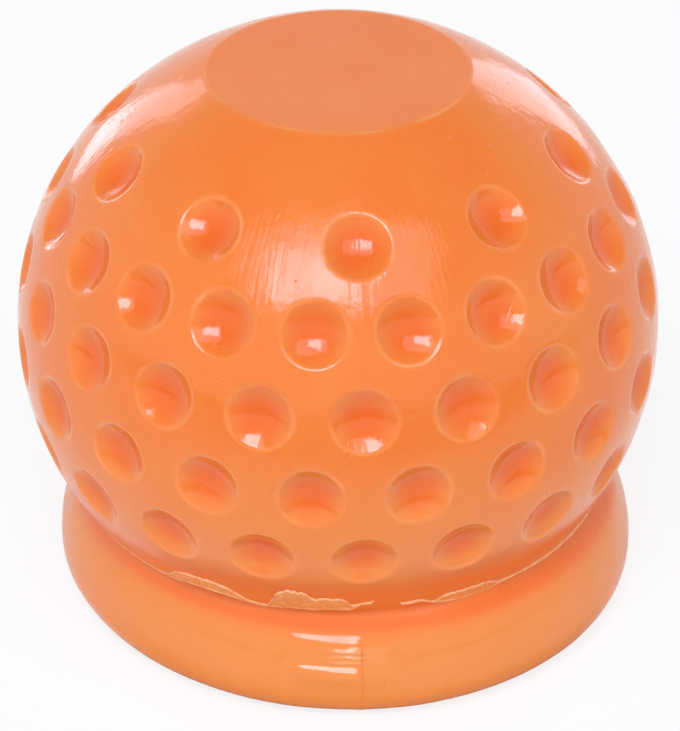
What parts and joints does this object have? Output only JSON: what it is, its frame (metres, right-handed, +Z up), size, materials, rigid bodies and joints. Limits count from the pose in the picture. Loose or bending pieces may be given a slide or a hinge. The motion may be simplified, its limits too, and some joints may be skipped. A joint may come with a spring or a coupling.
{
  "type": "tow ball cover",
  "caption": "Soft hollow cover for a towing ball: a dimpled ball with a flat top and an open, bulging skirt that grips under the towing ball.",
  "frame": {"origin": "centre of the rim that the cover stands on, in the rim's plane", "axes": "+Z up along the cover's axis, from the mouth to the flat top; -Y is the front, where the mould's parting line runs down"},
  "size_m": [0.065, 0.065, 0.057],
  "materials": {
    "soft_plastic": "glossy, slightly translucent orange soft plastic"
  },
  "bodies": {
    "root": {"cover": "soft_plastic"}
  },
  "joints": []
}
